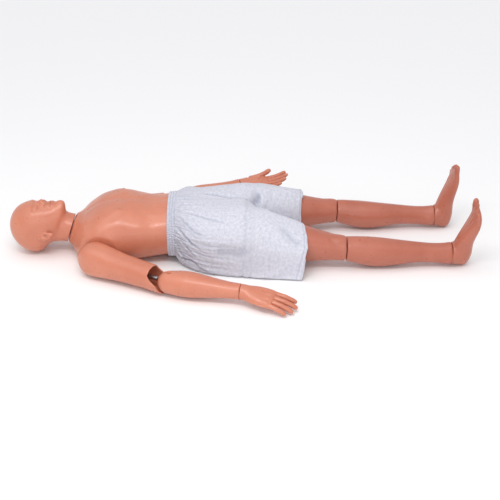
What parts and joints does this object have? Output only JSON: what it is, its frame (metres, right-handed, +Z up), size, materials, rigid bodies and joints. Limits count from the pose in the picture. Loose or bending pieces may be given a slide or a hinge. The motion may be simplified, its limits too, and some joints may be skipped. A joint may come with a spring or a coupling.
{
  "type": "rescue training manikin",
  "caption": "Adult-size rescue training manikin lying on its back: moulded vinyl body with steel-jointed head, arms and legs, in jersey shorts with an elastic waistband.",
  "frame": {"origin": "on the ground under the back, on the centre line, 0.41 m from the crown of the head", "axes": "+X towards the feet, +Y to the manikin's left, +Z up out of the chest"},
  "size_m": [1.6515, 0.8594, 0.2666],
  "materials": {
    "skin_vinyl": "satin moulded vinyl, skin coloured",
    "plated_steel": "zinc plated",
    "nylon": "natural nylon",
    "jersey": "light grey heather jersey",
    "rib_elastic": "gathered jersey over stitched elastic"
  },
  "bodies": {
    "torso": {"torso": "skin_vinyl", "neck_stud": "plated_steel", "shoulder_stud_right": "plated_steel", "shoulder_stud_left": "plated_steel", "hip_axle": "plated_steel", "hip_nut_right": "plated_steel", "hip_nut_left": "plated_steel", "waistband": "rib_elastic", "shorts_right": "jersey", "shorts_left": "jersey"},
    "head": {"head": "skin_vinyl", "neck_bush": "nylon"},
    "upper_arm_right": {"upper_arm_right": "skin_vinyl", "shoulder_bush_right": "nylon", "elbow_link_right": "plated_steel"},
    "forearm_right": {"forearm_right": "skin_vinyl", "elbow_pin_right": "plated_steel", "wrist_stud_right": "plated_steel"},
    "hand_right": {"hand_right": "skin_vinyl", "wrist_bush_right": "nylon"},
    "thigh_right": {"thigh_right": "skin_vinyl", "hip_bush_right": "nylon", "knee_leaf_upper_right": "plated_steel"},
    "shin_right": {"shin_right": "skin_vinyl", "knee_leaf_lower_right": "plated_steel", "knee_pin_right": "plated_steel", "ankle_stud_right": "plated_steel"},
    "foot_right": {"foot_right": "skin_vinyl", "ankle_bush_right": "nylon"},
    "upper_arm_left": {"upper_arm_left": "skin_vinyl", "shoulder_bush_left": "nylon", "elbow_link_left": "plated_steel"},
    "forearm_left": {"forearm_left": "skin_vinyl", "elbow_pin_left": "plated_steel", "wrist_stud_left": "plated_steel"},
    "hand_left": {"hand_left": "skin_vinyl", "wrist_bush_left": "nylon"},
    "thigh_left": {"thigh_left": "skin_vinyl", "hip_bush_left": "nylon", "knee_leaf_upper_left": "plated_steel"},
    "shin_left": {"shin_left": "skin_vinyl", "knee_leaf_lower_left": "plated_steel", "knee_pin_left": "plated_steel", "ankle_stud_left": "plated_steel"},
    "foot_left": {"foot_left": "skin_vinyl", "ankle_bush_left": "nylon"}
  },
  "joints": [
    {"name": "neck_turn", "type": "hinge", "parent": "torso", "child": "head", "pos_m": [-0.1884, 0, 0.08924], "axis": [0.9455, 0, -0.3256], "range_deg": [-70, 70]},
    {"name": "shoulder_swing_right", "type": "hinge", "parent": "torso", "child": "upper_arm_right", "pos_m": [-0.08478, -0.15708, 0.06148], "axis": [0, -1, 0], "range_deg": [-35, 165]},
    {"name": "elbow_bend_right", "type": "hinge", "parent": "upper_arm_right", "child": "forearm_right", "pos_m": [0.17681, -0.32077, 0.046], "axis": [-0.454, -0.891, 0], "range_deg": [0, 91]},
    {"name": "wrist_turn_right", "type": "hinge", "parent": "forearm_right", "child": "hand_right", "pos_m": [0.41579, -0.38704, 0.04592], "axis": [0.9636, -0.2672, -0.0003], "range_deg": [-26, 174]},
    {"name": "hip_bend_right", "type": "hinge", "parent": "torso", "child": "thigh_right", "pos_m": [0.4396, -0.095, 0.097], "axis": [0, -1, 0], "range_deg": [0, 90], "deforming": ["shorts_right"]},
    {"name": "knee_bend_right", "type": "hinge", "parent": "thigh_right", "child": "shin_right", "pos_m": [0.78581, -0.14825, 0.03671], "axis": [0, 1, 0], "range_deg": [0, 95]},
    {"name": "ankle_turn_right", "type": "hinge", "parent": "shin_right", "child": "foot_right", "pos_m": [1.16105, -0.14825, 0.04387], "axis": [1, 0, 0], "range_deg": [-42, 48]},
    {"name": "shoulder_swing_left", "type": "hinge", "parent": "torso", "child": "upper_arm_left", "pos_m": [-0.08478, 0.15708, 0.06148], "axis": [0, -1, 0], "range_deg": [-35, 165]},
    {"name": "elbow_bend_left", "type": "hinge", "parent": "upper_arm_left", "child": "forearm_left", "pos_m": [0.18743, 0.29746, 0.046], "axis": [0.3746, -0.9272, 0], "range_deg": [-14, 80]},
    {"name": "wrist_turn_left", "type": "hinge", "parent": "forearm_left", "child": "hand_left", "pos_m": [0.42716, 0.34099, 0.0923], "axis": [-0.9666, -0.1755, -0.1867], "range_deg": [-182, 18]},
    {"name": "hip_bend_left", "type": "hinge", "parent": "torso", "child": "thigh_left", "pos_m": [0.4396, 0.095, 0.097], "axis": [0, -1, 0], "range_deg": [0, 90], "deforming": ["shorts_left"]},
    {"name": "knee_bend_left", "type": "hinge", "parent": "thigh_left", "child": "shin_left", "pos_m": [0.78581, 0.14825, 0.03671], "axis": [0, 1, 0], "range_deg": [0, 95]},
    {"name": "ankle_turn_left", "type": "hinge", "parent": "shin_left", "child": "foot_left", "pos_m": [1.16105, 0.14825, 0.04387], "axis": [-1, 0, 0], "range_deg": [-31, 59]}
  ]
}
